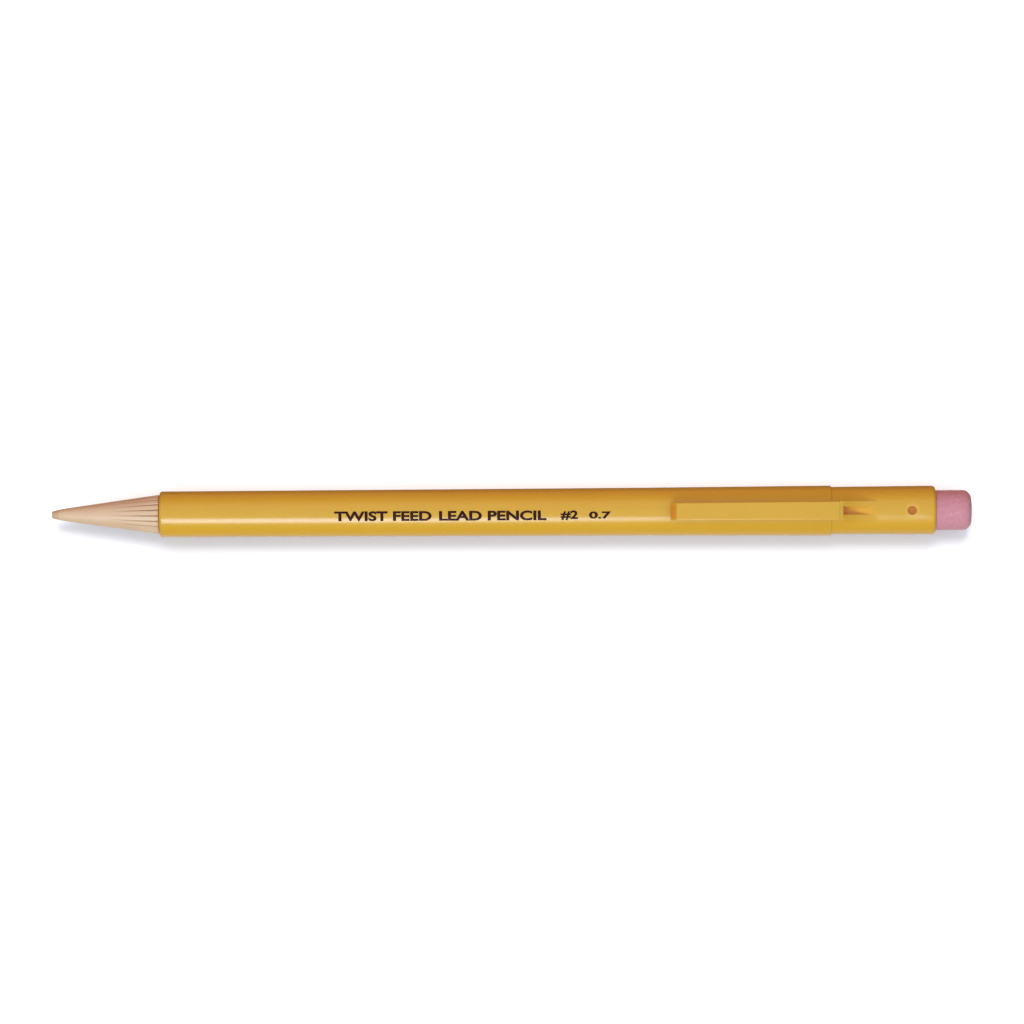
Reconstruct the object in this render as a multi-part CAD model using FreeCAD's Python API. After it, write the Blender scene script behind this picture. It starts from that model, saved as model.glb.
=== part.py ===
import FreeCAD, Part

import math
import os

from FreeCAD import Vector

# Twist-tip propelling pencil with a cushioned cartridge and a moulded pocket clip.
# Millimetres. X runs from the writing tip to the eraser, +Z is up through the clip,
# and the pencil lies on Z = 0. Stations below are distances back from the tip.

LENGTH = 143.0
BARREL_REAR_R = 3.895          # widest ring, so the pencil's axis lies this high
AXIS_Z = BARREL_REAR_R

# nose cone
NOSE_PROFILE = [(0.0, 0.50), (0.30, 0.61), (1.05, 0.775), (1.15, 0.80), (1.8, 0.94), (16.3, 2.98)]
NOSE_BACK, NOSE_BACK_R = 16.6, 2.84      # the lands end in a small chamfer
NECK_R = 2.60                  # shadow gap just ahead of and inside the barrel's mouth
SKIRT_START, SKIRT_END, SKIRT_R = 17.3, 20.0, 3.03
NOSE_BOSS_R, NOSE_BOSS_END = 2.20, 23.30
LEAD_BORE_R = 0.42
FLUTES, FIRST_FLUTE = 20, 4.4  # grooves around the cone, and the first one's angle from the top
FLUTE_START = 8.8
FLUTE_DEPTH, FLUTE_WIDTH = 0.27, 0.40

# lead and its friction sleeve
LEAD_R, LEAD_TIP, LEAD_END = 0.35, 0.6, 97.6
GRIP_R, GRIP_BORE_R = 1.10, 0.38
GRIP_START, GRIP_END = 8.2, 13.8

# slotted tube that turns with the nose
TUBE_R, TUBE_BORE_R = 1.90, 1.45
TUBE_START, TUBE_END = 14.0, 104.2
SLOT_WIDTH, SLOT_START, SLOT_END = 0.94, 27.5, 100.9

# spiral that doesn't turn, inside its own tube
PITCH = 2.5
TURNS = 30
SPIRAL_START = 25.75
RIBBON_R_IN, RIBBON_R_OUT, RIBBON_WIDTH = 2.07, 2.49, 1.10
CASE_R, CASE_BORE_R = 2.85, 2.50
CASE_START, CASE_END = 23.35, 105.0
BUSHING_BORE_R = 1.97
FRONT_BUSHING_LEN = 1.7
TAIL_BUSHING_START, TAIL_BEARING_END, TAIL_FLANGE_END = 102.0, 104.2, 106.0
TAIL_POCKET_R = 2.40
KEY_WIDTH, KEY_HEIGHT, KEY_START, KEY_END = 1.0, 3.0, 105.4, 117.4
PLUG_STEM_START, PLUG_HEAD_R, PLUG_HEAD_END = 101.9, 2.30, 105.05

# carrier that pushes the lead
CARRIER_R, CARRIER_START, CARRIER_END = 1.40, 97.0, 101.2
LUG_WIDTH, LUG_LENGTH, LUG_TIP_R = 0.80, 0.90, 2.34
CLUTCH_R, CLUTCH_START, CLUTCH_END = 0.80, 94.6, 99.0

# barrel: (station, radius) along the outside
BARREL_START, BARREL_END = 16.75, 121.1
BARREL_OUTSIDE = [(16.75, 3.55), (62.0, 3.65), (93.0, 3.73), (121.1, BARREL_REAR_R)]
BARREL_FRONT_ROUND, BARREL_REAR_ROUND = 0.55, 0.35
MOUTH_R, MOUTH_END = 3.10, 21.75
WEB_HOLE_R, WEB_END = 2.30, 23.25
BARREL_BORE_R = 2.95
CAP_SOCKET_R, CAP_SOCKET_START = 3.20, 114.9

# cushion spring
SPRING_WIRE_R, SPRING_MEAN_R, SPRING_TURNS = 0.175, 2.55, 6

# end cap, clip and eraser
SPIGOT_START, CAP_START, CAP_END = 115.0, 121.15, 137.4
CAP_FRONT_R, CAP_REAR_R, CAP_RIM = 3.69, 3.785, 0.58
ERASER_R, ERASER_FLOOR, ERASER_FLOOR_R = 3.125, 129.2, 3.02
ERASER_STRAIGHT_END, ERASER_CORNER = 141.75, 1.2
KEYWAY_DEPTH, KEYWAY_GAP = 4.0, 0.10
DIMPLE_AT, DIMPLE_R, DISH_R = 133.6, 0.68, 1.2
CLIP_START, CLIP_SPLIT = 96.1, 122.3
CLIP_TOP, CLIP_THICK = 5.60, 1.20
CLIP_TIP_WIDTH, CLIP_ROOT_WIDTH = 2.70, 2.94
RAIL_BEND, RAIL_WIDTH = 122.6, 0.845
RAIL_MID, RAIL_END = (125.3, 4.28), (129.1, 3.34)    # the rails' tops are one hollow arc
POCKET_START = 122.85
NIB_AT, NIB_R = 98.0, 0.75


def at(station):
    """Place along X for a distance back from the tip."""
    return station - LENGTH / 2


def point(station, y, height):
    """Point from its station, Y and height above the axis."""
    return Vector(at(station), y, AXIS_Z + height)


def turned(profile):
    """Solid of revolution about the pencil's axis from (station, radius) corners."""
    corners = [point(s, 0, r) for s, r in profile]
    face = Part.Face(Part.makePolygon(corners + corners[:1]))
    return face.revolve(point(0, 0, 0), Vector(1, 0, 0), 360)


def rod(start, end, radius):
    return Part.makeCylinder(radius, end - start, point(start, 0, 0), Vector(1, 0, 0))


def block(start, end, width, low, high):
    """Box centred on Y = 0 between two heights above the axis."""
    return Part.makeBox(end - start, width, high - low, point(start, -width / 2, low))


def side_plate(outline, width):
    """Prism across Y from an outline of (station, height) corners."""
    corners = [point(s, -width / 2, h) for s, h in outline]
    return Part.Face(Part.makePolygon(corners + corners[:1])).extrude(Vector(0, width, 0))


def round_edges(shape, radius, wanted):
    edges = [e for e in shape.Edges if wanted(e)]
    return shape.makeFillet(radius, edges)


def ring_at(station, radius):
    """Test for the circular edge at a station with about this radius."""
    def wanted(edge):
        box = edge.BoundBox
        flat = box.XLength < 1e-4 and abs(box.XMin - at(station)) < 1e-3
        return flat and abs(box.ZLength / 2 - radius) < 2e-2
    return wanted


def coil(start, turns, pitch, mean_r, section):
    """Right-handed coil about the axis, its section drawn as (radius, axial) corners or a wire radius."""
    if isinstance(section, list):
        path = Part.makeHelix(pitch, pitch * turns, mean_r)
        corners = [Vector(r, 0, z) for r, z in section]
        profile = Part.makePolygon(corners + corners[:1])
    else:
        path = Part.makeLongHelix(pitch, pitch * turns, mean_r)
        slope = math.atan2(pitch, 2 * math.pi * mean_r)
        along = Vector(0, math.cos(slope), math.sin(slope))
        profile = Part.Wire(Part.makeCircle(section, Vector(mean_r, 0, 0), along))
    swept = Part.Wire(path.Edges).makePipeShell([profile], True, True)
    swept.rotate(Vector(0, 0, 0), Vector(0, 1, 0), 90)
    swept.translate(point(start, 0, 0))
    return swept


def flute(angle):
    """Tapering V groove: no depth at its front, full depth at its back."""
    def outside(station):
        (s0, r0), (s1, r1) = NOSE_PROFILE[-2:]
        return r0 + (r1 - r0) * (station - s0) / (s1 - s0)

    flute_end = NOSE_BACK + 0.1
    front, back = outside(FLUTE_START), outside(flute_end)
    side = FLUTE_WIDTH / 2
    lift = 0.25
    spread = side * (FLUTE_DEPTH + lift) / FLUTE_DEPTH
    nose = point(FLUTE_START, 0, front)
    crest = point(FLUTE_START, 0, front + lift)
    root = point(flute_end, 0, back - FLUTE_DEPTH)
    left, right = point(flute_end, -spread, back + lift), point(flute_end, spread, back + lift)
    faces = [(root, right, left), (nose, root, left), (nose, right, root),
             (nose, left, crest), (nose, crest, right), (crest, left, right)]
    shell = Part.Shell([Part.Face(Part.makePolygon([a, b, c, a])) for a, b, c in faces])
    groove = Part.Solid(shell)
    if groove.Volume < 0:
        groove.reverse()
    groove.rotate(point(0, 0, 0), Vector(1, 0, 0), angle)
    return groove


def make_nose_cone():
    cone = turned([(0, 0)] + NOSE_PROFILE
                  + [(NOSE_BACK, NOSE_BACK_R), (NOSE_BACK, NECK_R), (SKIRT_START, NECK_R),
                     (SKIRT_START, SKIRT_R), (SKIRT_END, SKIRT_R),
                     (SKIRT_END, NOSE_BOSS_R), (NOSE_BOSS_END, NOSE_BOSS_R), (NOSE_BOSS_END, 0)])
    bore = turned([(-1, 0), (-1, LEAD_BORE_R), (GRIP_START, LEAD_BORE_R), (GRIP_START, GRIP_R),
                   (TUBE_START, GRIP_R), (TUBE_START, TUBE_R), (NOSE_BOSS_END + 1, TUBE_R),
                   (NOSE_BOSS_END + 1, 0)])
    grooves = [flute(FIRST_FLUTE + 360 * i / FLUTES) for i in range(FLUTES)]
    return cone.cut(bore).cut(Part.makeCompound(grooves))


def make_lead_grip():
    sleeve = turned([(GRIP_START, GRIP_BORE_R), (GRIP_START, GRIP_R), (GRIP_END, GRIP_R),
                     (GRIP_END, GRIP_BORE_R + 0.35), (GRIP_END - 0.8, GRIP_BORE_R)])
    return sleeve


def make_lead():
    chamfer = 0.08
    return turned([(LEAD_TIP, 0), (LEAD_TIP, LEAD_R - chamfer), (LEAD_TIP + chamfer, LEAD_R),
                   (LEAD_END, LEAD_R), (LEAD_END, 0)])


def make_slotted_tube():
    tube = rod(TUBE_START, TUBE_END, TUBE_R).cut(rod(TUBE_START - 1, TUBE_END + 1, TUBE_BORE_R))
    slot = block(SLOT_START, SLOT_END, SLOT_WIDTH, -2 * TUBE_R, 2 * TUBE_R)
    return tube.cut(slot)


def make_tube_plug():
    return turned([(PLUG_STEM_START, 0), (PLUG_STEM_START, TUBE_BORE_R - 0.15),
                   (PLUG_STEM_START + 0.3, TUBE_BORE_R), (TUBE_END, TUBE_BORE_R),
                   (TUBE_END, TUBE_R), (TUBE_END + 0.06, TUBE_R), (TUBE_END + 0.06, PLUG_HEAD_R),
                   (PLUG_HEAD_END, PLUG_HEAD_R), (PLUG_HEAD_END, 0)])


def make_spiral_case():
    return rod(CASE_START, CASE_END, CASE_R).cut(rod(CASE_START - 1, CASE_END + 1, CASE_BORE_R))


def make_drive_spiral():
    half = RIBBON_WIDTH / 2
    section = [(RIBBON_R_IN, -half), (RIBBON_R_OUT, -half), (RIBBON_R_OUT, half), (RIBBON_R_IN, half)]
    return coil(SPIRAL_START, TURNS, PITCH, (RIBBON_R_IN + RIBBON_R_OUT) / 2, section)


def make_front_bushing():
    start, end = CASE_START, CASE_START + FRONT_BUSHING_LEN
    return turned([(start, BUSHING_BORE_R + 0.15), (start, CASE_BORE_R), (end, CASE_BORE_R),
                   (end, BUSHING_BORE_R), (start + 0.15, BUSHING_BORE_R)])


def make_tail_bushing():
    ring = turned([(TAIL_BUSHING_START, BUSHING_BORE_R), (TAIL_BUSHING_START, CASE_BORE_R),
                   (CASE_END, CASE_BORE_R), (CASE_END, CASE_R), (TAIL_FLANGE_END, CASE_R),
                   (TAIL_FLANGE_END, TAIL_POCKET_R), (TAIL_BEARING_END, TAIL_POCKET_R),
                   (TAIL_BEARING_END, BUSHING_BORE_R)])
    bridge = block(KEY_START, TAIL_FLANGE_END, KEY_WIDTH, -CASE_R, CASE_R)
    bridge = bridge.common(rod(KEY_START, TAIL_FLANGE_END, TAIL_POCKET_R + 0.1))
    key = block(KEY_START, KEY_END, KEY_WIDTH, -KEY_HEIGHT / 2, KEY_HEIGHT / 2)
    return ring.fuse([bridge, key]).removeSplitter()


def lug_stations():
    """Centres of the lower and upper lug: mid-gap of the spiral where each one stands."""
    turns_back = int((CARRIER_END - 2.6 - SPIRAL_START) / PITCH)
    upper = SPIRAL_START + turns_back * PITCH
    return upper + PITCH / 2, upper


def make_lead_carrier():
    body = rod(CARRIER_START, CARRIER_END, CARRIER_R)
    lower, upper = lug_stations()
    down = block(lower - LUG_LENGTH / 2, lower + LUG_LENGTH / 2, LUG_WIDTH, -LUG_TIP_R, 0)
    up = block(upper - LUG_LENGTH / 2, upper + LUG_LENGTH / 2, LUG_WIDTH, 0, LUG_TIP_R)
    return body.fuse([down, up]).removeSplitter().cut(rod(CARRIER_START - 1, CLUTCH_END, CLUTCH_R))


def make_lead_clutch():
    sleeve = turned([(CLUTCH_START, 0), (CLUTCH_START, CLUTCH_R - 0.2), (CLUTCH_START + 0.2, CLUTCH_R),
                     (CLUTCH_END, CLUTCH_R), (CLUTCH_END, 0)])
    return sleeve.cut(rod(CLUTCH_START - 1, LEAD_END, LEAD_R))


def make_barrel():
    outer = turned([(BARREL_START, 0)] + BARREL_OUTSIDE + [(BARREL_END, 0)])
    outer = round_edges(outer, BARREL_FRONT_ROUND, ring_at(BARREL_START, BARREL_OUTSIDE[0][1]))
    outer = round_edges(outer, BARREL_REAR_ROUND, ring_at(BARREL_END, BARREL_REAR_R))
    hollow = turned([(BARREL_START - 1, 0), (BARREL_START - 1, MOUTH_R), (MOUTH_END, MOUTH_R),
                     (MOUTH_END, WEB_HOLE_R), (WEB_END, WEB_HOLE_R), (WEB_END, BARREL_BORE_R),
                     (CAP_SOCKET_START, BARREL_BORE_R), (CAP_SOCKET_START, CAP_SOCKET_R),
                     (BARREL_END + 1, CAP_SOCKET_R), (BARREL_END + 1, 0)])
    return outer.cut(hollow)


def make_cushion_spring():
    length = SPIGOT_START - TAIL_FLANGE_END - 2 * SPRING_WIRE_R - 0.1
    start = TAIL_FLANGE_END + SPRING_WIRE_R + 0.05
    return coil(start, SPRING_TURNS, length / SPRING_TURNS, SPRING_MEAN_R, SPRING_WIRE_R)


def plan_prism(low, high):
    """The clip's plan view raised between two heights above the axis."""
    side = [(CLIP_START, CLIP_TIP_WIDTH / 2), (RAIL_BEND, CLIP_ROOT_WIDTH / 2),
            (RAIL_END[0], CLIP_ROOT_WIDTH / 2)]
    corners = [point(s, y, low) for s, y in side] + [point(s, -y, low) for s, y in reversed(side)]
    return Part.Face(Part.makePolygon(corners + corners[:1])).extrude(Vector(0, 0, high - low))


def clip_rails():
    """Two rails that carry the clip down to the cap, with an open pocket between them."""
    half = CLIP_ROOT_WIDTH / 2
    side = -2 * half
    bend, end = point(RAIL_BEND, side, CLIP_TOP), point(RAIL_END[0], side, RAIL_END[1])
    corners = [end, point(RAIL_END[0], side, 0), point(CLIP_SPLIT, side, 0),
               point(CLIP_SPLIT, side, CLIP_TOP), bend]
    edges = Part.makePolygon(corners).Edges
    slope = Part.Arc(bend, point(RAIL_MID[0], side, RAIL_MID[1]), end).toShape()
    gusset = Part.Face(Part.Wire(edges + [slope])).extrude(Vector(0, 4 * half, 0))
    pocket = block(POCKET_START, RAIL_END[0] + 1, 2 * (half - RAIL_WIDTH), 0, 2 * CLIP_TOP)
    return gusset.common(plan_prism(0, 2 * CLIP_TOP)).cut(pocket)


def make_end_cap():
    body = turned([(CAP_START, 0), (CAP_START, CAP_FRONT_R), (CAP_END - 1.0, CAP_REAR_R),
                   (CAP_END, CAP_REAR_R), (CAP_END, 0)])
    body = round_edges(body, CAP_RIM, ring_at(CAP_END, CAP_REAR_R))
    spigot = rod(SPIGOT_START, CAP_START, CAP_SOCKET_R)
    cap = body.fuse([spigot, clip_rails()]).removeSplitter()
    socket = turned([(ERASER_FLOOR, 0), (ERASER_FLOOR, ERASER_FLOOR_R), (CAP_END, ERASER_R),
                     (CAP_END + 1, ERASER_R), (CAP_END + 1, 0)])
    keyway = block(SPIGOT_START - 1, SPIGOT_START + KEYWAY_DEPTH, KEY_WIDTH + 2 * KEYWAY_GAP,
                   -KEY_HEIGHT / 2 - KEYWAY_GAP, KEY_HEIGHT / 2 + KEYWAY_GAP)
    dimple = Part.makeCylinder(DIMPLE_R, 2, point(DIMPLE_AT, 0, CAP_REAR_R - 0.40))
    dish = Part.makeCone(DIMPLE_R - 0.2, DISH_R + 0.3, 0.5, point(DIMPLE_AT, 0, CAP_REAR_R - 0.25))
    return cap.cut([socket, keyway, dimple, dish])


def make_pocket_clip():
    bar = side_plate([(CLIP_START + 0.15, CLIP_TOP - CLIP_THICK), (CLIP_START, CLIP_TOP - 0.85),
                      (CLIP_START + 1.0, CLIP_TOP), (CLIP_SPLIT - 0.03, CLIP_TOP),
                      (CLIP_SPLIT - 0.03, CLIP_TOP - CLIP_THICK)], 2 * CLIP_ROOT_WIDTH)
    nib = Part.makeCylinder(NIB_R, 2 * CLIP_ROOT_WIDTH,
                            point(NIB_AT, -CLIP_ROOT_WIDTH, CLIP_TOP - CLIP_THICK + 0.14), Vector(0, 1, 0))
    clip = bar.fuse(nib).removeSplitter().common(plan_prism(0, 2 * CLIP_TOP))

    def top_side(edge):
        box = edge.BoundBox
        return box.ZLength < 1e-4 and box.ZMin > AXIS_Z + CLIP_TOP - 1e-3 and box.XLength > 10
    return round_edges(clip, 0.22, top_side)


def make_eraser():
    plug = turned([(ERASER_FLOOR + 0.05, 0), (ERASER_FLOOR + 0.05, ERASER_FLOOR_R),
                   (CAP_END, ERASER_R), (ERASER_STRAIGHT_END + ERASER_CORNER, ERASER_R),
                   (LENGTH, ERASER_R - ERASER_CORNER), (LENGTH, 0)])
    return round_edges(plug, ERASER_CORNER, ring_at(ERASER_STRAIGHT_END + ERASER_CORNER, ERASER_R))


PARTS = {
    "barrel": make_barrel,
    "nose_cone": make_nose_cone,
    "lead_grip": make_lead_grip,
    "lead": make_lead,
    "lead_clutch": make_lead_clutch,
    "lead_carrier": make_lead_carrier,
    "slotted_tube": make_slotted_tube,
    "tube_plug": make_tube_plug,
    "front_bushing": make_front_bushing,
    "spiral_case": make_spiral_case,
    "drive_spiral": make_drive_spiral,
    "tail_bushing": make_tail_bushing,
    "cushion_spring": make_cushion_spring,
    "end_cap": make_end_cap,
    "pocket_clip": make_pocket_clip,
    "eraser": make_eraser,
}

os.makedirs("parts", exist_ok=True)
for name, make in PARTS.items():
    shape = make()
    shape.exportStep("parts/" + name + ".step")
    box = shape.BoundBox
    print(name, "solids", len(shape.Solids), "valid", shape.isValid(), "volume", round(shape.Volume, 3),
          "x", round(box.XMin, 2), round(box.XMax, 2), "z", round(box.ZMin, 2), round(box.ZMax, 2))
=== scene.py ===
"""Builds a twist mechanical pencil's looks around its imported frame: pieces, finishes, lights and camera."""

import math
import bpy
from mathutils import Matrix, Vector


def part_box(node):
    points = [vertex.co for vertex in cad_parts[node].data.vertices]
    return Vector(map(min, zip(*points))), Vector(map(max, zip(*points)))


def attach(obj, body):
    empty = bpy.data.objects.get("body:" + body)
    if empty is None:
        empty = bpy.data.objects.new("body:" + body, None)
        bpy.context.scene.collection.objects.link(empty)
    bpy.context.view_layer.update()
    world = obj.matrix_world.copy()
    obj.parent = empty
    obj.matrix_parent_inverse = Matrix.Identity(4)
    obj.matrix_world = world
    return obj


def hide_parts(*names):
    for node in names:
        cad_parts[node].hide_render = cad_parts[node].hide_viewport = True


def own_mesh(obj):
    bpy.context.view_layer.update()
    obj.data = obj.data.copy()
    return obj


bl_info = {
    "name": "Twist Pencil Maker",
    "version": (1, 0, 0),
    "blender": (4, 5, 0),
    "location": "View3D > Sidebar > Pencil",
    "description": "Makes a fluted twist mechanical pencil with its clip, cap and eraser",
    "category": "Object",
}

import bmesh
import bpy
from bpy.props import FloatProperty, FloatVectorProperty, IntProperty, PointerProperty, StringProperty
from mathutils import Vector

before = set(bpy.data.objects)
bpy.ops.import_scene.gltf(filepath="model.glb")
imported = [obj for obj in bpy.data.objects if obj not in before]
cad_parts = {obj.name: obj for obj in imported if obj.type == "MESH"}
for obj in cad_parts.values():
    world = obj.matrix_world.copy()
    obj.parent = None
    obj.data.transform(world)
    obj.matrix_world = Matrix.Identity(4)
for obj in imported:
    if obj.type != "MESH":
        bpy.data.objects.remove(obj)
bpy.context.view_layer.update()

MM = 0.001                     # pieces are shaped in millimetres, then brought to metres
LOW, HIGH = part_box("barrel")
AXIS = (LOW.z + HIGH.z) / 2 / MM
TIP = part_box("nose_cone")[0].x / MM

# places back from the tip and distances from the pencil's axis, in millimetres
CONE_FRONT, CONE_BACK = (1.8, 0.94), (16.3, 2.98)      # the straight cone that carries the flutes
FLUTE_START, FLUTE_END = 8.8, 16.7
FIRST_FLUTE = 4.4                                      # degrees from the top
DIMPLE, DIMPLE_FLOOR, DIMPLE_RIM = 133.6, 3.38, 3.70
POCKET_WALL, POCKET_WALL_HEIGHT = 122.9, 4.0           # the pocket's front wall, under the clip's root
RAILS_PART, RAILS_END = 126.6, 128.8                   # where the rails begin to spread, and run out
LETTER_TURN = 7.6                                      # degrees from the top
# each word's start, end and share of the letter height
LETTER_SPANS = ((44.0, 59.1, 1.0), (60.25, 76.9, 1.0), (79.1, 81.8, 0.96), (83.5, 86.9, 0.74))


def cone_radius(station):
    """Radius of the straight cone, its flutes aside, at a place back from the tip."""
    slope = (CONE_BACK[1] - CONE_FRONT[1]) / (CONE_BACK[0] - CONE_FRONT[0])
    return CONE_FRONT[1] + slope * (station - CONE_FRONT[0])


def colour(text, value, about):
    return FloatVectorProperty(name=text, description=about, default=value + (1.0,), size=4,
                               min=0.0, max=1.0, subtype="COLOR")


def length(text, value, about):
    return FloatProperty(name=text, description=about, default=value * MM, min=0.0,
                         subtype="DISTANCE", unit="LENGTH", precision=5)


class PencilSizes(bpy.types.PropertyGroup):
    spin_steps: IntProperty(name="Spin steps", description="Facets around each turned piece",
                            default=144, min=24, max=360)
    front_round: length("Front round", 0.5, "Rounding of the barrel's front lip")
    rear_round: length("Rear round", 0.16, "Rounding of the barrel's rear lip")
    flutes: IntProperty(name="Flutes", description="Grooves around the nose", default=20, min=6, max=40)
    flute_depth: length("Flute depth", 0.27, "Depth of a groove at its back end")
    flute_width: length("Flute width", 0.40, "Width of a groove at its back end")
    eased_edge: length("Eased edge", 0.09, "Bevel on the moulded edges of the cap and clip")
    letter_height: length("Letter height", 1.55, "Height of the capitals on the barrel")
    lettering: StringProperty(name="Lettering", description="Generic words on the barrel, one per span",
                              default="TWIST FEED|LEAD PENCIL|#2|0.7")


class PencilColours(bpy.types.PropertyGroup):
    barrel: colour("Barrel", (0.545, 0.348, 0.031), "Moulded barrel, cap and clip")
    nose: colour("Nose", (0.570, 0.455, 0.310), "Fluted nose cone")
    hollow: colour("Hollow", (0.420, 0.150, 0.012), "Shade down in the cap's dimple")
    neck: colour("Neck", (0.700, 0.270, 0.050), "Warm shade of the nose's neck, lit through the barrel")
    groove: colour("Groove", (0.330, 0.140, 0.060), "Shade down in the flutes")
    eraser: colour("Eraser", (0.455, 0.190, 0.255), "Soft eraser")
    foil: colour("Foil", (0.030, 0.006, 0.008), "Stamped lettering")
    graphite: colour("Graphite", (0.045, 0.045, 0.050), "Lead")
    natural: colour("Natural plastic", (0.70, 0.68, 0.62), "Inner mouldings")
    steel: colour("Steel", (0.56, 0.57, 0.58), "Cushion spring")


# ---- hands: small steps that every piece uses ------------------------------------------------

def put_down():
    """Leave edit mode with nothing selected."""
    if bpy.context.mode != "OBJECT":
        bpy.ops.object.mode_set(mode="OBJECT")
    bpy.ops.object.select_all(action="DESELECT")


def pick_up(obj, edit=False):
    put_down()
    obj.select_set(True)
    bpy.context.view_layer.objects.active = obj
    if edit:
        bpy.ops.object.mode_set(mode="EDIT")
        bpy.ops.mesh.select_mode(type="VERT")
        bpy.ops.mesh.select_all(action="SELECT")


def choose(kind, wanted):
    """Select, in edit mode, the vertices, edges or faces that a test picks out."""
    obj = bpy.context.edit_object
    bpy.ops.mesh.select_mode(type=kind)
    bpy.ops.mesh.select_all(action="DESELECT")
    mesh = bmesh.from_edit_mesh(obj.data)
    found = False
    for part in {"VERT": mesh.verts, "EDGE": mesh.edges, "FACE": mesh.faces}[kind]:
        if wanted(part):
            part.select_set(True)
            found = True
    mesh.select_flush_mode()
    bmesh.update_edit_mesh(obj.data)
    if not found:
        raise RuntimeError("nothing to select on " + obj.name)


def modify(obj, kind, **settings):
    """Add one modifier and apply it."""
    pick_up(obj)
    modifier = obj.modifiers.new(kind.title(), kind)
    for key, value in settings.items():
        setattr(modifier, key, value)
    bpy.ops.object.modifier_apply(modifier=modifier.name)


def place(obj, smooth=30.0):
    """Bring a piece shaped about the X axis in millimetres to its place, in metres."""
    pick_up(obj)
    obj.location = (0.0, 0.0, AXIS * MM)
    obj.scale = (MM, MM, MM)
    bpy.ops.object.transform_apply(location=True, rotation=True, scale=True)
    bpy.ops.object.shade_smooth_by_angle(angle=math.radians(smooth))


def turned(name, outline, steps):
    """Spin an outline of (x, radius) corners about the X axis.

    An outline that starts and ends on the axis isn't closed along it.
    """
    put_down()
    x, radius = outline[0]
    bpy.ops.mesh.primitive_plane_add(size=0.1, location=(x, 0, radius))
    obj = bpy.context.object
    obj.name = obj.data.name = name
    bpy.ops.object.transform_apply(location=True, rotation=True, scale=True)
    pick_up(obj, edit=True)
    bpy.ops.mesh.merge(type="CENTER")
    if outline[0][1] or outline[-1][1]:
        outline = outline + outline[:1]
    for (x0, r0), (x1, r1) in zip(outline, outline[1:]):
        bpy.ops.mesh.extrude_vertices_move(TRANSFORM_OT_translate={"value": (x1 - x0, 0, r1 - r0)})
    bpy.ops.mesh.select_all(action="SELECT")
    bpy.ops.mesh.remove_doubles(threshold=0.002)
    bpy.ops.mesh.select_all(action="SELECT")
    bpy.ops.mesh.spin(steps=steps, angle=math.tau, center=(0, 0, 0), axis=(1, 0, 0))
    bpy.ops.mesh.select_all(action="SELECT")
    bpy.ops.mesh.remove_doubles(threshold=0.002)
    bpy.ops.mesh.normals_make_consistent(inside=False)
    return obj


def round_ring(obj, x, radius, size, segments=6):
    """Round a turned piece's corner ring at one place and radius."""
    pick_up(obj, edit=True)

    def on_ring(edge):
        return all(abs(v.co.x - x) < 0.01 and abs(math.hypot(v.co.y, v.co.z) - radius) < 0.01
                   for v in edge.verts)
    choose("EDGE", on_ring)
    bpy.ops.mesh.bevel(offset=size, offset_type="OFFSET", segments=segments, profile=0.5,
                       affect="EDGES", clamp_overlap=True)
    put_down()


def steps_between(start, end, count):
    """Points along a straight run of an outline, its end left out."""
    return [(start[0] + (end[0] - start[0]) * i / count, start[1] + (end[1] - start[1]) * i / count)
            for i in range(count)]


def joined_copy(node, name):
    """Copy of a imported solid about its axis, with its loose triangles joined."""
    put_down()
    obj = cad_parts[node].copy()
    obj.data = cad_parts[node].data.copy()
    obj.name = obj.data.name = name
    obj.parent = None
    for key in list(obj.keys()):
        del obj[key]
    obj.data.materials.clear()
    bpy.context.scene.collection.objects.link(obj)
    pick_up(obj)
    obj.scale = (1 / MM, 1 / MM, 1 / MM)
    obj.location = (0.0, 0.0, -AXIS)
    bpy.ops.object.transform_apply(location=True, rotation=True, scale=True)
    pick_up(obj, edit=True)
    bpy.ops.mesh.remove_doubles(threshold=0.0005)
    bpy.ops.mesh.customdata_custom_splitnormals_clear()
    put_down()
    return obj


def eased_copy(node, name, width, segments, keep_sharp, angle=32.0):
    """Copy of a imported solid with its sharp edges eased, save some."""
    obj = joined_copy(node, name)
    pick_up(obj, edit=True)
    bpy.ops.mesh.select_all(action="SELECT")
    bpy.ops.mesh.dissolve_limited(angle_limit=math.radians(0.4))
    limit = math.radians(angle)
    choose("EDGE", lambda edge: len(edge.link_faces) == 2 and edge.calc_face_angle() > limit
           and not keep_sharp([v.co for v in edge.verts]))
    bpy.ops.mesh.bevel(offset=width, segments=segments, affect="EDGES", clamp_overlap=True,
                       miter_outer="ARC")
    put_down()
    return obj


# ---- finishes ---------------------------------------------------------------------------------

def new_group(name, inputs, outputs):
    group = bpy.data.node_groups.new(name, "ShaderNodeTree")
    for text, kind, value in inputs:
        socket = group.interface.new_socket(name=text, in_out="INPUT", socket_type=kind)
        if value is not None:
            socket.default_value = value
    for text, kind in outputs:
        group.interface.new_socket(name=text, in_out="OUTPUT", socket_type=kind)
    return group, group.nodes.new("NodeGroupInput"), group.nodes.new("NodeGroupOutput")


def add(tree, kind, _operation=None, **inputs):
    """Add a node, set or link its named inputs, and return it."""
    node = tree.nodes.new(kind)
    if _operation:
        node.operation = _operation
    for key, value in inputs.items():
        socket = node.inputs[int(key[1:])] if key[0] == "_" else node.inputs[key.replace("_", " ")]
        if isinstance(value, bpy.types.NodeSocket):
            tree.links.new(value, socket)
        else:
            socket.default_value = value
    return node


def math_node(tree, operation, a, b=0.0):
    return add(tree, "ShaderNodeMath", operation, _0=a, _1=b).outputs[0]


def ramp(tree, value, low, high):
    """0 at low and 1 at high, eased between."""
    node = add(tree, "ShaderNodeMapRange", Value=value, From_Min=low, From_Max=high)
    node.interpolation_type = "SMOOTHSTEP"
    return node.outputs[0]


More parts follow.
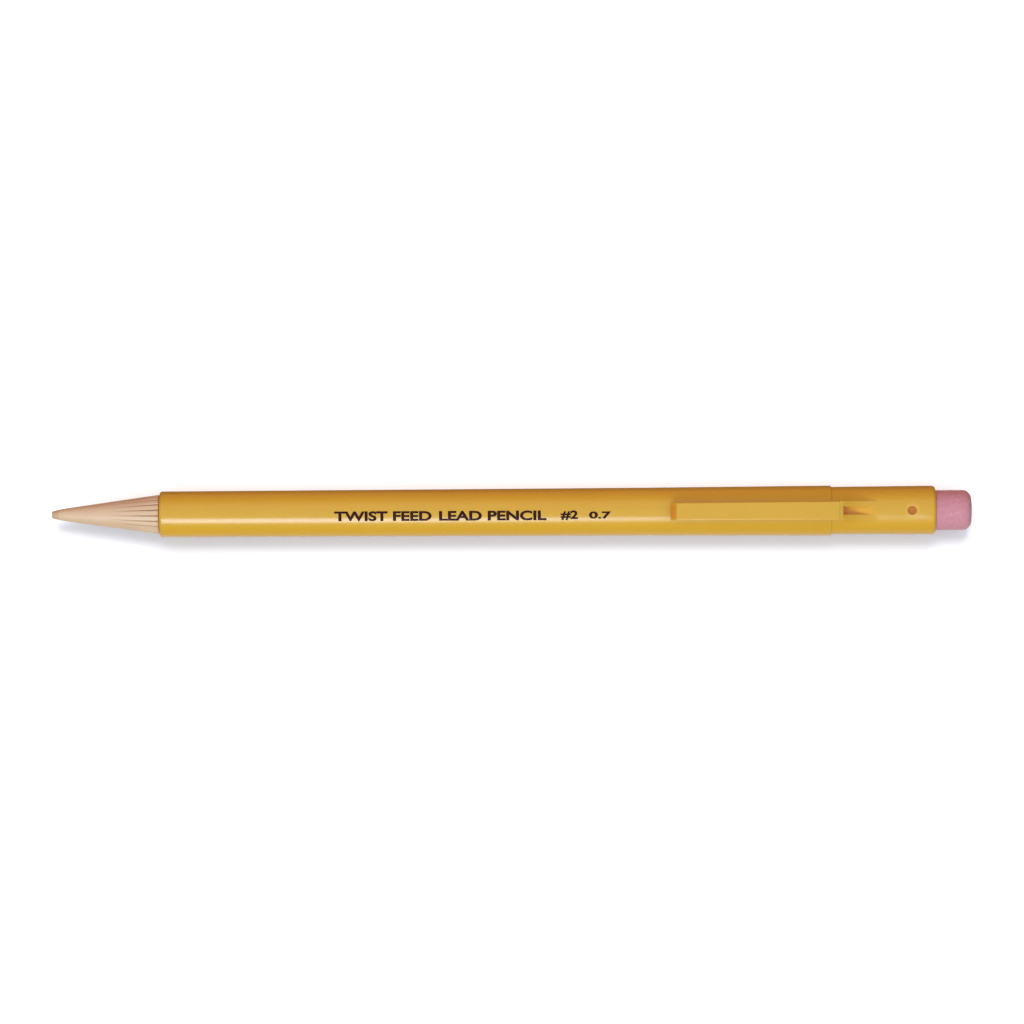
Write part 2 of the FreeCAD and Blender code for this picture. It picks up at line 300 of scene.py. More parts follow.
def mixed(tree, factor, a, b):
    node = tree.nodes.new("ShaderNodeMix")
    node.data_type = "RGBA"
    for socket, value in ((node.inputs[0], factor), (node.inputs[6], a), (node.inputs[7], b)):
        if isinstance(value, bpy.types.NodeSocket):
            tree.links.new(value, socket)
        else:
            socket.default_value = value
    return node.outputs[2]


def noise(tree, vector, scale, detail=3.0, roughness=0.5):
    node = add(tree, "ShaderNodeTexNoise", Vector=vector, Scale=scale, Detail=detail, Roughness=roughness)
    return node.outputs["Fac"]


def make_moulded_group():
    """Cloudy colour drift, fine surface grain and a few tiny specks, as moulded plastic has."""
    group, inside, out = new_group(
        "Moulded Surface",
        [("Vector", "NodeSocketVector", None), ("Drift Size", "NodeSocketFloat", 4.0),
         ("Grain Size", "NodeSocketFloat", 0.12), ("Speck Size", "NodeSocketFloat", 0.6),
         ("Speck Share", "NodeSocketFloat", 0.05)],
        [("Drift", "NodeSocketFloat"), ("Grain", "NodeSocketFloat"), ("Specks", "NodeSocketFloat")])
    take = inside.outputs
    drift_scale = math_node(group, "DIVIDE", 1 / MM, take["Drift Size"])
    grain_scale = math_node(group, "DIVIDE", 1 / MM, take["Grain Size"])
    speck_scale = math_node(group, "DIVIDE", 1 / MM, take["Speck Size"])
    drift = noise(group, take["Vector"], drift_scale, 2.0)
    grain = noise(group, take["Vector"], grain_scale, 2.0, 0.6)
    cells = add(group, "ShaderNodeTexVoronoi", Vector=take["Vector"], Scale=speck_scale)
    shade = add(group, "ShaderNodeSeparateColor", Color=cells.outputs["Color"])
    chosen = math_node(group, "LESS_THAN", shade.outputs[0], take["Speck Share"])
    small = ramp(group, cells.outputs["Distance"], 0.22, 0.10)
    group.links.new(drift, out.inputs["Drift"])
    group.links.new(grain, out.inputs["Grain"])
    group.links.new(math_node(group, "MULTIPLY", chosen, small), out.inputs["Specks"])
    return group


def make_axis_group():
    """Distance back along the pencil and out from its axis, in millimetres."""
    group, inside, out = new_group(
        "Pencil Axis", [("Vector", "NodeSocketVector", None), ("Axis Height", "NodeSocketFloat", AXIS)],
        [("Station", "NodeSocketFloat"), ("Radius", "NodeSocketFloat"), ("Across", "NodeSocketFloat"),
         ("Angle", "NodeSocketFloat")])
    split = add(group, "ShaderNodeSeparateXYZ", Vector=inside.outputs["Vector"])
    station = math_node(group, "SUBTRACT", math_node(group, "DIVIDE", split.outputs[0], MM), TIP)
    across = math_node(group, "DIVIDE", split.outputs[1], MM)
    above = math_node(group, "SUBTRACT", math_node(group, "DIVIDE", split.outputs[2], MM),
                      inside.outputs["Axis Height"])
    squares = math_node(group, "ADD", math_node(group, "POWER", math_node(group, "ABSOLUTE", across), 2.0),
                        math_node(group, "POWER", math_node(group, "ABSOLUTE", above), 2.0))
    group.links.new(station, out.inputs["Station"])
    group.links.new(math_node(group, "SQRT", squares), out.inputs["Radius"])
    group.links.new(across, out.inputs["Across"])
    turn = math_node(group, "ARCTAN2", math_node(group, "MULTIPLY", across, -1.0), above)
    group.links.new(math_node(group, "MULTIPLY", turn, 180 / math.pi), out.inputs["Angle"])
    return group


GROUPS = {}


def shared(name, maker):
    if name not in GROUPS:
        GROUPS[name] = maker()
    return GROUPS[name]


def begin_finish(name, drift=4.0, grain=0.12, speck=0.6, share=0.05):
    """New material with its shader and the moulded group on Object coordinates."""
    material = bpy.data.materials.new(name)
    material.use_nodes = True
    tree = material.node_tree
    shader = tree.nodes["Principled BSDF"]
    place_node = tree.nodes.new("ShaderNodeTexCoord").outputs["Object"]
    moulded = tree.nodes.new("ShaderNodeGroup")
    moulded.node_tree = shared("Moulded Surface", make_moulded_group)
    tree.links.new(place_node, moulded.inputs["Vector"])
    for key, value in (("Drift Size", drift), ("Grain Size", grain), ("Speck Size", speck),
                       ("Speck Share", share)):
        moulded.inputs[key].default_value = value
    axis = tree.nodes.new("ShaderNodeGroup")
    axis.node_tree = shared("Pencil Axis", make_axis_group)
    tree.links.new(place_node, axis.inputs["Vector"])
    return material, tree, shader, moulded.outputs, axis.outputs


def shades(tree, base, drift, amount):
    """Base colour drifting a little darker and lighter."""
    dark = tuple(c * (1 - amount) for c in base[:3]) + (1.0,)
    light = tuple(min(1.0, c * (1 + amount)) for c in base[:3]) + (1.0,)
    return mixed(tree, drift, dark, light)


def bump(tree, shader, height, distance):
    node = add(tree, "ShaderNodeBump", Height=height, Distance=distance * MM, Strength=1.0)
    tree.links.new(node.outputs["Normal"], shader.inputs["Normal"])


def rough(tree, shader, value, spread, mask):
    node = add(tree, "ShaderNodeMapRange", Value=mask, To_Min=value - spread, To_Max=value + spread)
    tree.links.new(node.outputs[0], shader.inputs["Roughness"])


def soften(shader, weight, scale=1.0):
    """Let light sink a little way into a moulding, redder the deeper it goes."""
    shader.inputs["Subsurface Weight"].default_value = weight
    shader.inputs["Subsurface Radius"].default_value = (1.0, 0.40, 0.12)
    shader.inputs["Subsurface Scale"].default_value = scale * MM


def barrel_finish(base, name="Warm moulded plastic"):
    material, tree, shader, moulded, _ = begin_finish(name, drift=9.0, grain=0.16, share=0.012)
    tint = shades(tree, base, moulded["Drift"], 0.03)
    tint = mixed(tree, math_node(tree, "MULTIPLY", moulded["Specks"], 0.5), tint, (0.25, 0.12, 0.03, 1.0))
    tree.links.new(tint, shader.inputs["Base Color"])
    rough(tree, shader, 0.22, 0.03, moulded["Grain"])
    shader.inputs["IOR"].default_value = 1.46
    soften(shader, 0.30)
    bump(tree, shader, moulded["Grain"], 0.0025)
    return material


def repaint(material):
    """What a finish needs to paint over the barrel's plastic: tree, place, axis values and tint so far."""
    tree = material.node_tree
    place_node = tree.nodes["Texture Coordinate"].outputs["Object"]
    axis = next(n for n in tree.nodes if n.type == "GROUP" and "Radius" in n.outputs).outputs
    tint = tree.nodes["Principled BSDF"].inputs["Base Color"].links[0].from_socket
    return tree, place_node, axis, tint


def near_point(tree, vector, spot, reach, core):
    """1 within core of a spot, easing to 0 at reach, all in millimetres."""
    away = add(tree, "ShaderNodeVectorMath", "DISTANCE", _0=vector, _1=tuple(c * MM for c in spot))
    return ramp(tree, math_node(tree, "DIVIDE", away.outputs["Value"], MM), reach, core)


def cap_finish(base, hollow):
    """The barrel's plastic, with painted shade in the dimple and a painted highlight round its rim, and
    painted warm shade on the pocket's floor and just behind the pocket's front wall.
    """
    material = barrel_finish(base, "Cap plastic")
    tree, vector, axis, tint = repaint(material)
    dimple = near_point(tree, vector, (DIMPLE + TIP, 0.0, AXIS + DIMPLE_FLOOR), 0.80, 0.55)
    pocket = near_point(tree, vector, (POCKET_WALL + TIP, 0.0, AXIS + POCKET_WALL_HEIGHT), 1.25, 0.45)
    # a painted highlight on the rounded rim round the dimple
    rim = near_point(tree, vector, (DIMPLE + TIP, 0.0, AXIS + DIMPLE_RIM), 1.30, 1.05)
    ring = math_node(tree, "MULTIPLY", rim, 0.35)
    tint = mixed(tree, ring, tint, (0.66, 0.44, 0.09, 1.0))
    # painted warm shade on the pocket's floor, a little wider where the rails run out
    half = add(tree, "ShaderNodeMapRange", Value=axis["Station"], From_Min=RAILS_PART, From_Max=RAILS_END,
               To_Min=0.60, To_Max=0.95).outputs[0]
    across = math_node(tree, "ABSOLUTE", axis["Across"])
    between = ramp(tree, math_node(tree, "SUBTRACT", across, half), 0.06, -0.04)
    fading = ramp(tree, axis["Station"], RAILS_END + 0.2, POCKET_WALL + 1.1)
    behind = math_node(tree, "GREATER_THAN", axis["Station"], POCKET_WALL - 0.1)
    lengthwise = math_node(tree, "MULTIPLY", fading, behind)
    low = math_node(tree, "LESS_THAN", axis["Radius"], 3.90)
    upper = math_node(tree, "LESS_THAN", math_node(tree, "ABSOLUTE", axis["Angle"]), 60.0)
    floor = math_node(tree, "MULTIPLY", math_node(tree, "MULTIPLY", between, lengthwise),
                      math_node(tree, "MULTIPLY", low, upper))
    tint = mixed(tree, math_node(tree, "MULTIPLY", floor, 0.8), tint, (0.78, 0.36, 0.03, 1.0))
    # painted warm shade just behind the pocket's front wall
    tint = mixed(tree, math_node(tree, "MULTIPLY", pocket, 0.8), tint, (0.80, 0.30, 0.03, 1.0))
    # painted shade down in the dimple
    tint = mixed(tree, dimple, tint, hollow)
    tree.links.new(tint, tree.nodes["Principled BSDF"].inputs["Base Color"])
    return material


def clip_finish(base, front):
    """The barrel's plastic, with painted warm shade on the slanted front edge of the clip."""
    material = barrel_finish(base, "Clip plastic")
    tree, _, axis, tint = repaint(material)
    middle = ramp(tree, math_node(tree, "ABSOLUTE", axis["Across"]), 1.25, 0.85)
    edge = math_node(tree, "MULTIPLY", ramp(tree, axis["Station"], front + 0.95, front + 0.65), middle)
    # painted warm shade on the clip's slanted front edge, where it stands over the barrel
    tint = mixed(tree, math_node(tree, "MULTIPLY", edge, 0.75), tint, (0.62, 0.22, 0.03, 1.0))
    tree.links.new(tint, tree.nodes["Principled BSDF"].inputs["Base Color"])
    return material


def nose_finish(base, groove, neck, flutes):
    material, tree, shader, moulded, axis = begin_finish("Pale nose plastic", drift=3.0, grain=0.14,
                                                         share=0.02)
    tint = shades(tree, base, moulded["Drift"], 0.04)
    # how far below the cone's own surface a point lies shows where a groove is, which gets painted shade
    start = cone_radius(0.0)
    outside = math_node(tree, "ADD", math_node(tree, "MULTIPLY", axis["Station"], cone_radius(1.0) - start),
                        start)
    depth = math_node(tree, "SUBTRACT", outside, axis["Radius"])
    inside = ramp(tree, depth, 0.01, 0.17)
    behind = math_node(tree, "GREATER_THAN", axis["Station"], 8.0)
    # a thin line of painted shade runs along the bottom of each flute
    phase = math_node(tree, "DIVIDE", math_node(tree, "SUBTRACT", axis["Angle"], FIRST_FLUTE), 360 / flutes)
    off = math_node(tree, "ABSOLUTE", math_node(tree, "SUBTRACT", phase, math_node(tree, "ROUND", phase)))
    arc = math_node(tree, "MULTIPLY", math_node(tree, "MULTIPLY", off, math.tau / flutes), axis["Radius"])
    line = math_node(tree, "MULTIPLY", ramp(tree, arc, 0.12, 0.04), ramp(tree, axis["Station"], 8.4, 13.5))
    dark = math_node(tree, "MAXIMUM", math_node(tree, "MULTIPLY", line, 0.50),
                     math_node(tree, "MULTIPLY", math_node(tree, "MULTIPLY", inside, behind), 0.35))
    tint = mixed(tree, dark, tint, groove)
    tip = ramp(tree, axis["Station"], 1.25, 0.95)
    tint = mixed(tree, math_node(tree, "MULTIPLY", tip, 0.45), tint, (0.40, 0.24, 0.13, 1.0))
    tint = mixed(tree, ramp(tree, axis["Station"], 16.60, 16.70), tint, neck)
    tree.links.new(tint, shader.inputs["Base Color"])
    rough(tree, shader, 0.42, 0.05, moulded["Grain"])
    soften(shader, 0.25, 0.8)
    shader.inputs["IOR"].default_value = 1.46
    bump(tree, shader, moulded["Grain"], 0.003)
    return material


def eraser_finish(base):
    material, tree, shader, moulded, _ = begin_finish("Pink eraser rubber", drift=0.55, grain=0.10,
                                                      speck=0.30, share=0.30)
    tint = shades(tree, base, moulded["Drift"], 0.22)
    tint = mixed(tree, math_node(tree, "MULTIPLY", moulded["Grain"], 0.35), tint, (0.62, 0.40, 0.45, 1.0))
    tint = mixed(tree, math_node(tree, "MULTIPLY", moulded["Specks"], 0.70), tint, (0.90, 0.72, 0.74, 1.0))
    tree.links.new(tint, shader.inputs["Base Color"])
    rough(tree, shader, 0.85, 0.08, moulded["Grain"])
    shader.inputs["Sheen Weight"].default_value = 0.15
    shader.inputs["Sheen Roughness"].default_value = 0.6
    height = math_node(tree, "ADD", moulded["Grain"], math_node(tree, "MULTIPLY", moulded["Specks"], 0.6))
    bump(tree, shader, height, 0.03)
    return material


def foil_finish(base):
    material, tree, shader, moulded, _ = begin_finish("Stamped foil", drift=1.5, grain=0.08, share=0.03)
    tint = shades(tree, base, moulded["Drift"], 0.25)
    tree.links.new(tint, shader.inputs["Base Color"])
    rough(tree, shader, 0.45, 0.08, moulded["Grain"])
    shader.inputs["Specular IOR Level"].default_value = 0.10
    bump(tree, shader, moulded["Grain"], 0.002)
    return material


def inner_finish(name, base, roughness=0.4, metal=0.0, drift=3.0, grain=0.12, height=0.002, share=0.02):
    material, tree, shader, moulded, _ = begin_finish(name, drift=drift, grain=grain, share=share)
    tint = shades(tree, base, moulded["Drift"], 0.06)
    dim = tuple(c * 0.5 for c in base[:3]) + (1.0,)
    tint = mixed(tree, math_node(tree, "MULTIPLY", moulded["Specks"], 0.4), tint, dim)
    tree.links.new(tint, shader.inputs["Base Color"])
    rough(tree, shader, roughness, 0.05, moulded["Grain"])
    shader.inputs["Metallic"].default_value = metal
    bump(tree, shader, moulded["Grain"], height)
    return material


def floor_finish():
    material, tree, shader, moulded, _ = begin_finish("Pale card", drift=60.0, grain=0.8, share=0.0)
    tree.links.new(shades(tree, (0.90, 0.90, 0.905), moulded["Drift"], 0.01), shader.inputs["Base Color"])
    rough(tree, shader, 0.9, 0.03, moulded["Grain"])
    shader.inputs["Specular IOR Level"].default_value = 0.1
    bump(tree, shader, moulded["Grain"], 0.01)
    return material


def dress(obj, material):
    obj.data.materials.clear()
    obj.data.materials.append(material)
    for polygon in obj.data.polygons:
        polygon.material_index = 0


def hand_over(obj, node, body):
    """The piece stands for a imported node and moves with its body."""
    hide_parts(node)
    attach(obj, body)


# ---- pieces -------------------------------------------------------------------------------------

class PENCIL_OT_barrel(bpy.types.Operator):
    """Turn the barrel with its rounded lips, mouth, web, bore and cap socket"""
    bl_idname = "pencil.barrel"
    bl_label = "Barrel"
    bl_options = {"REGISTER", "UNDO"}

    def execute(self, context):
        sizes, paints = context.scene.pencil_sizes, context.scene.pencil_colours
        x0, x1 = LOW.x / MM, HIGH.x / MM + 0.08      # stops just short of the cap's shoulder
        front, rear = 3.55, AXIS - 0.007
        mouth, web_hole, bore, cap_socket = 3.10, 2.30, 2.95, 3.20
        web_front, web_back, socket_floor = x0 + 5.0, x0 + 6.5, x1 - 6.24
        outline = [(x0, front), (x0 + 45.25, 3.65), (x0 + 76.25, 3.73), (x1, rear), (x1, cap_socket),
                   (socket_floor, cap_socket), (socket_floor, bore), (web_back, bore), (web_back, web_hole),
                   (web_front, web_hole), (web_front, mouth), (x0, mouth)]
        tube = turned("barrel_tube", outline, sizes.spin_steps)
        round_ring(tube, x0, front, min(sizes.front_round / MM, 0.44))
        round_ring(tube, x1, rear, sizes.rear_round / MM)
        place(tube)
        dress(tube, barrel_finish(paints.barrel))
        hand_over(tube, "barrel", "barrel")
        return {"FINISHED"}


class PENCIL_OT_lettering(bpy.types.Operator):
    """Lay generic foil lettering on the top of the barrel"""
    bl_idname = "pencil.lettering"
    bl_label = "Lettering"
    bl_options = {"REGISTER", "UNDO"}

    def execute(self, context):
        sizes, paints = context.scene.pencil_sizes, context.scene.pencil_colours
        high = sizes.letter_height / MM
        above, strip = 4.3, 0.14                     # clear of the barrel; width of a strip that can bend
        words = []
        for word, (start, end, tall) in zip(sizes.lettering.split("|"), LETTER_SPANS):
            put_down()
            bpy.ops.object.text_add(location=(0, 0, 0))
            text = bpy.context.object
            text.data.body = word
            text.data.size = 2.0
            text.data.offset = 0.072
            text.data.resolution_u = 4
            pick_up(text)
            bpy.ops.object.convert(target="MESH")
            text = bpy.context.object
            low = [min(v.co[i] for v in text.data.vertices) for i in (0, 1)]
            far = [max(v.co[i] for v in text.data.vertices) for i in (0, 1)]
            wide, deep = far[0] - low[0], far[1] - low[1]
            fit = ((end - start) / wide, high * tall / deep, 1.0)
            pick_up(text, edit=True)
            bpy.ops.transform.translate(value=(-low[0], -(low[1] + far[1]) / 2, 0))
            bpy.ops.transform.resize(value=fit, center_override=(0, 0, 0))
            bpy.ops.transform.translate(value=(start + TIP, 0, above))
            for i in range(-5, 6):
                bpy.ops.mesh.select_all(action="SELECT")
                bpy.ops.mesh.bisect(plane_co=(0, i * strip, 0), plane_no=(0, 1, 0))
            put_down()
            words.append(text)
        for word in words:
            word.select_set(True)
        bpy.context.view_layer.objects.active = words[0]
        bpy.ops.object.join()
        letters = bpy.context.object
        letters.name = letters.data.name = "barrel_lettering"
        letters.rotation_euler.x = math.radians(LETTER_TURN)
        letters.location = (0, 0, AXIS * MM)
        letters.scale = (MM, MM, MM)
        bpy.ops.object.transform_apply(location=False, rotation=False, scale=True)
        modify(letters, "SHRINKWRAP", target=bpy.data.objects["barrel_tube"], wrap_method="PROJECT",
               use_project_x=False, use_project_y=False, use_project_z=True,
               use_negative_direction=True, use_positive_direction=False,
               wrap_mode="ABOVE_SURFACE", offset=0.000004)
        modify(letters, "SOLIDIFY", thickness=0.00001, offset=1.0)
        pick_up(letters)
        bpy.ops.object.transform_apply(location=True, rotation=True, scale=True)
        dress(letters, foil_finish(paints.foil))
        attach(letters, "barrel")
        return {"FINISHED"}


class PENCIL_OT_nose(bpy.types.Operator):
    """Turn the nose cone and cut its flutes"""
    bl_idname = "pencil.nose"
    bl_label = "Fluted nose"
    bl_options = {"REGISTER", "UNDO"}

    def execute(self, context):
        sizes, paints = context.scene.pencil_sizes, context.scene.pencil_colours
        stations = [(0.0, 0.42), (0.0, 0.50), (0.30, 0.61), (1.05, 0.775), (1.15, 0.80), CONE_FRONT,
                    (16.52, 3.01), (16.68, 2.94), (16.72, 2.60), (17.3, 2.60), (17.3, 3.03), (20.0, 3.03),
                    (20.0, 2.20), (23.30, 2.20), (23.30, 1.90), (14.0, 1.90), (14.0, 1.10), (8.2, 1.10),
                    (8.2, 0.42)]
        cone = turned("fluted_nose", [(s + TIP, r) for s, r in stations], sizes.flutes * 8)
        put_down()
        depth, half = sizes.flute_depth / MM, sizes.flute_width / MM / 2
        lift, start, end = 0.25, FLUTE_START, FLUTE_END
        back_r, front_r = cone_radius(end), cone_radius(start)
        tall, wide = depth + lift, 2 * half * (depth + lift) / depth
        # a triangle with its point down, drawn out forwards to nothing
        bpy.ops.mesh.primitive_circle_add(vertices=3, radius=1.0, fill_type="NGON",
                                          location=(0, 0, 0), rotation=(0, 0, 0))
        cutter = bpy.context.object
        cutter.name = "flute_cutter"
        pick_up(cutter, edit=True)
        choose("VERT", lambda v: True)
        mesh = bmesh.from_edit_mesh(cutter.data)
        corners = sorted(mesh.verts, key=lambda v: v.co.x)
        places = ((end + TIP, -wide / 2, back_r + lift), (end + TIP, wide / 2, back_r + lift),
                  (end + TIP, 0.0, back_r - depth))
        for corner, spot in zip(corners, places):
            corner.co = spot
        bmesh.update_edit_mesh(cutter.data)
        bpy.ops.mesh.select_all(action="SELECT")
        bpy.ops.mesh.extrude_region_move(TRANSFORM_OT_translate={"value": (start - end, 0, 0)})
        middle = (start + TIP, 0, back_r + lift)
        bpy.ops.transform.resize(value=(1, 0.004, lift / tall), center_override=middle)
        bpy.ops.transform.translate(value=(0, 0, front_r - back_r))
        bpy.ops.mesh.select_all(action="SELECT")
        bpy.ops.mesh.normals_make_consistent(inside=False)
        count = sizes.flutes
        bpy.ops.mesh.spin(steps=count - 1, dupli=True, angle=math.tau * (count - 1) / count,
                          center=(0, 0, 0), axis=(1, 0, 0))
        put_down()
        pick_up(cutter)
        cutter.rotation_euler.x = math.radians(FIRST_FLUTE)
        bpy.ops.object.transform_apply(location=True, rotation=True, scale=True)
        modify(cone, "BOOLEAN", operation="DIFFERENCE", object=cutter, solver="EXACT")
        bpy.data.objects.remove(cutter)
        modify(cone, "BEVEL", width=0.03, segments=2, limit_method="ANGLE", angle_limit=math.radians(28))
        place(cone, smooth=35.0)
        dress(cone, nose_finish(paints.nose, paints.groove, paints.neck, sizes.flutes))
        hand_over(cone, "nose_cone", "nose")
        return {"FINISHED"}


class PENCIL_OT_cap(bpy.types.Operator):
    """Ease the edges of the moulded end cap with its clip root, pocket and dimple"""
    bl_idname = "pencil.cap"
    bl_label = "End cap"
    bl_options = {"REGISTER", "UNDO"}

    def execute(self, context):
        sizes, paints = context.scene.pencil_sizes, context.scene.pencil_colours
        joint = HIGH.x / MM + 0.1
        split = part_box("pocket_clip")[1].x / MM + 0.1

        def hidden(ends):
            return all(p.x < joint for p in ends) or (all(p.x < split for p in ends) and ends[0].z > 3.6)
        cap = eased_copy("end_cap", "cap_moulding", sizes.eased_edge / MM, 3, hidden)
        place(cap)
        dress(cap, cap_finish(paints.barrel, paints.hollow))
        hand_over(cap, "end_cap", "barrel")
        return {"FINISHED"}


class PENCIL_OT_clip(bpy.types.Operator):
    """Ease the edges of the pocket clip"""
    bl_idname = "pencil.clip"
    bl_label = "Pocket clip"
    bl_options = {"REGISTER", "UNDO"}

    def execute(self, context):
        sizes, paints = context.scene.pencil_sizes, context.scene.pencil_colours
        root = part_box("pocket_clip")[1].x / MM - 0.02
        clip = eased_copy("pocket_clip", "clip_blade", sizes.eased_edge / MM, 3,
                          lambda ends: all(p.x > root for p in ends))
        place(clip)
        dress(clip, clip_finish(paints.barrel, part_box("pocket_clip")[0].x / MM - TIP))
        hand_over(clip, "pocket_clip", "clip")
        return {"FINISHED"}


class PENCIL_OT_eraser(bpy.types.Operator):
    """Turn the eraser and rough up its worn end"""
    bl_idname = "pencil.eraser"
    bl_label = "Eraser"
    bl_options = {"REGISTER", "UNDO"}

    def execute(self, context):
        sizes, paints = context.scene.pencil_sizes, context.scene.pencil_colours
        low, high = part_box("eraser")
        x0, x1 = low.x / MM, high.x / MM
        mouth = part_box("end_cap")[1].x / MM
        plug, pressed, worn = 3.125, 3.02, 1.35      # radius in the open and in the cap, and of the corner
        corner = [(x1 - worn + worn * math.sin(a), plug - worn + worn * math.cos(a))
                  for a in (math.radians(6 * i) for i in range(15))]
        outline = ([(x0, 0.0), (x0, pressed)] + steps_between((mouth, plug), (x1 - worn, plug), 20)
                   + corner + steps_between((x1, plug - worn), (x1, 0.0), 12) + [(x1, 0.0)])
        stub = turned("eraser_stub", outline, sizes.spin_steps)
        put_down()
        texture = bpy.data.textures.new("Eraser crumb", "CLOUDS")
        texture.noise_scale = 0.45
        texture.noise_depth = 3
        modify(stub, "DISPLACE", texture=texture, strength=0.10, mid_level=1.0, texture_coords="LOCAL")
        place(stub, smooth=60.0)
        dress(stub, eraser_finish(paints.eraser))
        hand_over(stub, "eraser", "barrel")
        return {"FINISHED"}


class PENCIL_OT_works(bpy.types.Operator):
    """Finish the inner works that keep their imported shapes"""
    bl_idname = "pencil.works"
    bl_label = "Inner works"
    bl_options = {"REGISTER", "UNDO"}

    def execute(self, context):
        paints = context.scene.pencil_colours
        pale = paints.natural[:3]
        finishes = {
            "lead": inner_finish("Polymer graphite", paints.graphite, 0.32, 0.25, grain=0.05, height=0.001),
            "lead_grip": inner_finish("Grip rubber", (0.10, 0.10, 0.11, 1.0), 0.7),
            "lead_clutch": inner_finish("Turned brass", (0.78, 0.57, 0.25, 1.0), 0.32, 1.0, grain=0.05),
            "lead_carrier": inner_finish("Carrier plastic", (0.72, 0.72, 0.70, 1.0), 0.35),
            "slotted_tube": inner_finish("Tube plastic", pale + (1.0,), 0.38),
            "tube_plug": inner_finish("Plug plastic", (0.45, 0.45, 0.44, 1.0), 0.42),
            "front_bushing": inner_finish("Front bushing plastic", (0.62, 0.62, 0.60, 1.0), 0.42),
            "spiral_case": inner_finish("Case plastic", (0.66, 0.68, 0.70, 1.0), 0.3),
            "drive_spiral": inner_finish("Flat spring wire", paints.steel, 0.30, 1.0, grain=0.06),
            "tail_bushing": inner_finish("Tail bushing plastic", (0.58, 0.58, 0.56, 1.0), 0.42),
        }
        for node, material in finishes.items():
            dress(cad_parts[node], material)
        # the cushion spring shortens by the whole stroke when the point is pressed home
        coil = joined_copy("cushion_spring", "cushion_coil")
        place(coil)
        dress(coil, inner_finish("Spring steel", paints.steel, 0.28, 1.0, grain=0.06))
        hand_over(coil, "cushion_spring", "barrel")
        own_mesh(coil)
        return {"FINISHED"}


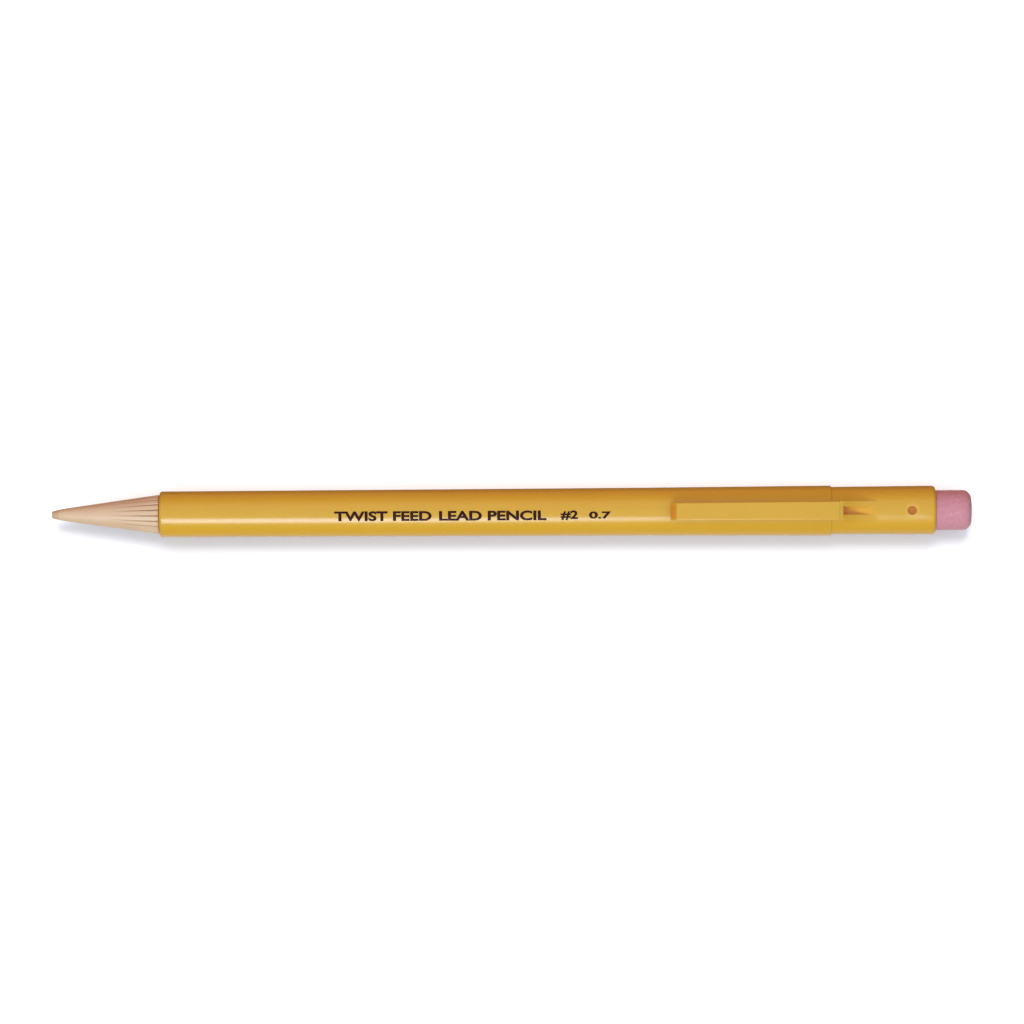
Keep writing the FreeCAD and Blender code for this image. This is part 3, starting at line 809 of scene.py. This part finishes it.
class PENCIL_OT_stage(bpy.types.Operator):
    """Set out the pale floor, the soft lights and the camera"""
    bl_idname = "pencil.stage"
    bl_label = "Stage"
    bl_options = {"REGISTER", "UNDO"}

    def execute(self, context):
        scene = context.scene
        put_down()
        bpy.ops.mesh.primitive_plane_add(size=4.0, location=(0, 0, 0))
        floor = context.object
        floor.name = floor.data.name = "floor"
        pick_up(floor, edit=True)
        bpy.ops.mesh.subdivide(number_cuts=3)
        put_down()
        dress(floor, floor_finish())
        floor.visible_diffuse = floor.visible_glossy = floor.visible_shadow = False

        self.sky(scene)
        pencil_only = self.linked("floor_left_out", floor, "EXCLUDE")
        floor_only = self.linked("floor_alone", floor, "INCLUDE")

        # a long soft box over the near side, whose end stops short of the eraser
        white, warm = (1.0, 1.0, 1.0), (1.0, 0.50, 0.09)
        for name, spot, size, radiance, tint in (
                ("side_softbox", (-0.17, -0.60, 0.85), (0.38, 0.44), 12.0, (0.76, 0.84, 1.0)),
                ("near_glow", (0.0, -0.60, 0.10), (1.20, 0.40), 0.95, warm),
                ("far_glow", (0.0, 0.60, 0.16), (1.20, 0.50), 1.20, (1.0, 0.29, 0.10))):
            self.area(name, spot, size, radiance, tint).light_linking.receiver_collection = pencil_only
        for name, aim, spread, energy, tint in (
                ("floor_light", (-0.05, 0.53, 1.0), 27, 2.0, white),
                ("floor_fill", (0.0, -0.60, 1.0), 60, 0.80, (0.55, 0.72, 1.0))):
            put_down()
            bpy.ops.object.light_add(type="SUN", location=aim)
            sun = context.object
            sun.name = name
            sun.data.angle = math.radians(spread)
            sun.data.energy = energy
            sun.data.color = tint
            sun.rotation_euler = Vector(aim).to_track_quat("Z", "Y").to_euler()
            sun.light_linking.receiver_collection = floor_only

        put_down()
        away, nudge = 0.917, 0.000062                # height over the pencil's axis; framing trim
        bpy.ops.object.camera_add(location=(nudge, nudge, AXIS * MM + away),
                                  rotation=(0, 0, math.radians(-0.32)))
        camera = context.object
        camera.name = "camera"
        camera.data.sensor_width = 36.0
        camera.data.lens = 207.18
        camera.data.clip_start = 0.01
        camera.data.clip_end = 20.0
        scene.camera = camera
        scene.view_settings.view_transform = "Standard"
        return {"FINISHED"}

    def linked(self, name, obj, state):
        group = bpy.data.collections.new(name)
        group.objects.link(obj)
        group.collection_objects[0].light_linking.link_state = state
        return group

    def area(self, name, spot, size, radiance, tint):
        put_down()
        bpy.ops.object.light_add(type="AREA", location=spot)
        light = bpy.context.object
        light.name = name
        light.data.shape = "RECTANGLE"
        light.data.size, light.data.size_y = size
        light.data.energy = radiance * math.pi * size[0] * size[1]
        light.data.color = tint
        light.rotation_euler = Vector(spot).to_track_quat("Z", "X").to_euler()
        light.visible_camera = False
        return light

    def sky(self, scene):
        """Pale overhead, dim towards the horizon, and pale again from below on the near side."""
        world = bpy.data.worlds.new("studio")
        scene.world = world
        world.use_nodes = True
        tree = world.node_tree
        background = tree.nodes["Background"]
        coordinates = tree.nodes.new("ShaderNodeTexCoord").outputs["Generated"]
        split = add(tree, "ShaderNodeSeparateXYZ", Vector=coordinates)
        above = ramp(tree, split.outputs[2], 0.30, 0.85)
        below = math_node(tree, "MULTIPLY", ramp(tree, split.outputs[2], -0.20, -0.75),
                          ramp(tree, split.outputs[1], 0.35, -0.35))
        tint = mixed(tree, above, (0.17, 0.12, 0.10, 1.0), (1.06, 1.06, 1.06, 1.0))
        tint = mixed(tree, below, tint, (0.80, 0.80, 0.80, 1.0))
        seen = tree.nodes.new("ShaderNodeLightPath").outputs["Is Camera Ray"]
        tree.links.new(mixed(tree, seen, tint, (0.93, 0.93, 0.93, 1.0)), background.inputs["Color"])


class PENCIL_PT_panel(bpy.types.Panel):
    """Lists the pencil's makers"""
    bl_idname = "PENCIL_PT_panel"
    bl_label = "Twist Pencil"
    bl_space_type = "VIEW_3D"
    bl_region_type = "UI"
    bl_category = "Pencil"

    def draw(self, context):
        for maker in MAKERS:
            self.layout.operator(maker.bl_idname)
        for group in (context.scene.pencil_sizes, context.scene.pencil_colours):
            box = self.layout.box()
            for key in group.__annotations__:
                box.prop(group, key)


MAKERS = (PENCIL_OT_barrel, PENCIL_OT_lettering, PENCIL_OT_nose, PENCIL_OT_cap, PENCIL_OT_clip,
          PENCIL_OT_eraser, PENCIL_OT_works, PENCIL_OT_stage)
CLASSES = (PencilSizes, PencilColours) + MAKERS + (PENCIL_PT_panel,)


def register():
    for cls in CLASSES:
        bpy.utils.register_class(cls)
    bpy.types.Scene.pencil_sizes = PointerProperty(type=PencilSizes)
    bpy.types.Scene.pencil_colours = PointerProperty(type=PencilColours)


def unregister():
    del bpy.types.Scene.pencil_colours
    del bpy.types.Scene.pencil_sizes
    for cls in reversed(CLASSES):
        bpy.utils.unregister_class(cls)


def main():
    register()
    for maker in MAKERS:
        group, name = maker.bl_idname.split(".")
        getattr(getattr(bpy.ops, group), name)()


if __name__ == "__main__":
    main()
